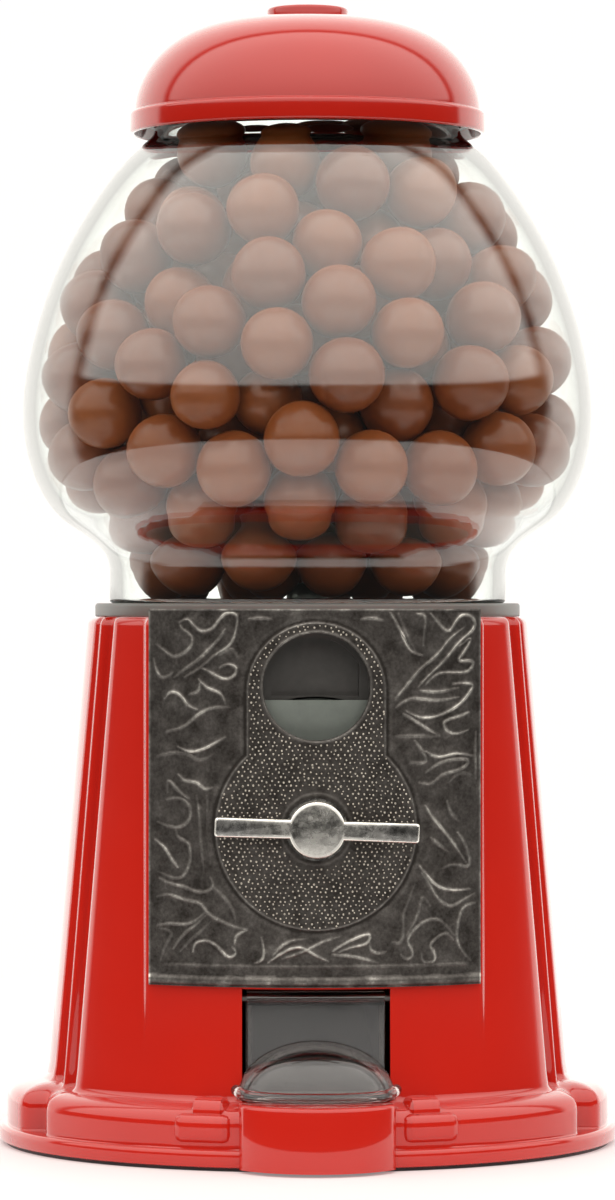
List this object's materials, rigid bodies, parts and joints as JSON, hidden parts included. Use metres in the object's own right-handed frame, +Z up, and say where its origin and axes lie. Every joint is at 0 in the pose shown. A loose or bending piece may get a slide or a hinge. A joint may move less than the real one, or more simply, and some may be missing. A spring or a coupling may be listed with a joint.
{
  "type": "gumball machine",
  "caption": "Coin-operated candy globe on a cast base with a geared dispensing wheel, hinged chute flap and lift-off lid.",
  "frame": {"origin": "on the globe's axis, in the plane the machine rests on", "axes": "+Z up along the globe's axis, -Y towards the face plate and chute, +X to the viewer's right"},
  "size_m": [0.1528, 0.1632, 0.281],
  "materials": {
    "red_paint": "high gloss red enamel",
    "antique_plate": "antiqued zinc casting, dark in the hollows and bright on the ridges",
    "polished_zinc": "polished zinc casting, slightly mottled",
    "zinc": "smooth dull zinc",
    "dark_steel": "dark plated steel",
    "steel_screws": "plated screws",
    "bronze": "sintered bronze",
    "black_plastic": "moulded, satin",
    "dark_plastic": "moulded, satin",
    "white_plastic": "moulded acetal, satin",
    "clear_plastic": "clear moulded plastic",
    "clear_glass": "clear pressed glass",
    "grey_rubber": "translucent grey rubber",
    "felt": "dark felt",
    "chocolate": "satin chocolate coating"
  },
  "bodies": {
    "base": {"ball_chute": "black_plastic", "base_body": "red_paint", "base_felt": "felt", "bottom_cover": "black_plastic", "bottom_cover_screws": "steel_screws", "bracket_screws": "steel_screws", "candy_balls": "chocolate", "centre_bush": "bronze", "chute_screws": "steel_screws", "coin_guide": "dark_steel", "coin_sill": "zinc", "drop_hole_cover": "zinc", "drop_tube": "black_plastic", "face_plate": "antique_plate", "face_plate_screws": "steel_screws", "flap_hinge_pin": "dark_steel", "front_bush": "polished_zinc", "globe": "clear_glass", "globe_gasket": "grey_rubber", "hopper": "dark_plastic", "hopper_screws": "steel_screws", "mechanism_bracket": "dark_steel", "pawl_pivot_screw": "dark_steel", "pawl_spring": "dark_steel", "rear_bush": "bronze"},
    "lid": {"lid_dome": "red_paint", "lid_knob": "red_paint", "lid_knob_screw": "steel_screws", "lid_liner": "dark_plastic"},
    "crank": {"handle": "polished_zinc", "handle_shaft": "zinc", "coin_wheel": "zinc", "ratchet_wheel": "dark_steel", "drive_pinion": "white_plastic", "shaft_clip": "dark_steel"},
    "dispenser": {"crown_gear": "white_plastic", "drive_shaft": "zinc", "drive_shaft_clip": "dark_steel", "dispensing_wheel": "dark_plastic", "wheel_cap_nut": "zinc"},
    "flap": {"chute_flap": "clear_plastic"},
    "pawl": {"pawl": "dark_steel"}
  },
  "joints": [
    {"name": "lid_lift", "type": "slide", "parent": "base", "child": "lid", "axis": [0, 0, 1], "range_m": [0, 0.045]},
    {"name": "wheel_turn", "type": "hinge", "parent": "base", "child": "dispenser", "pos_m": [0, 0, 0.1], "axis": [0, 0, 1], "continuous": true},
    {"name": "handle_turn", "type": "hinge", "parent": "base", "child": "crank", "pos_m": [0, 0, 0.08], "axis": [0, 1, 0], "continuous": true},
    {"name": "chute_flap_hinge", "type": "hinge", "parent": "base", "child": "flap", "pos_m": [0, -0.0622, 0.0398], "axis": [-1, 0, 0], "range_deg": [0, 75]},
    {"name": "pawl_pivot", "type": "hinge", "parent": "base", "child": "pawl", "pos_m": [-0.0246, -0.0511, 0.088], "axis": [0, -1, 0], "range_deg": [-8, 10], "stiffness_Nm_per_rad": 0.005, "deforming": ["pawl_spring"]}
  ],
  "couplings": [
    {"joint": "handle_turn", "follows": "wheel_turn", "ratio": 4}
  ]
}
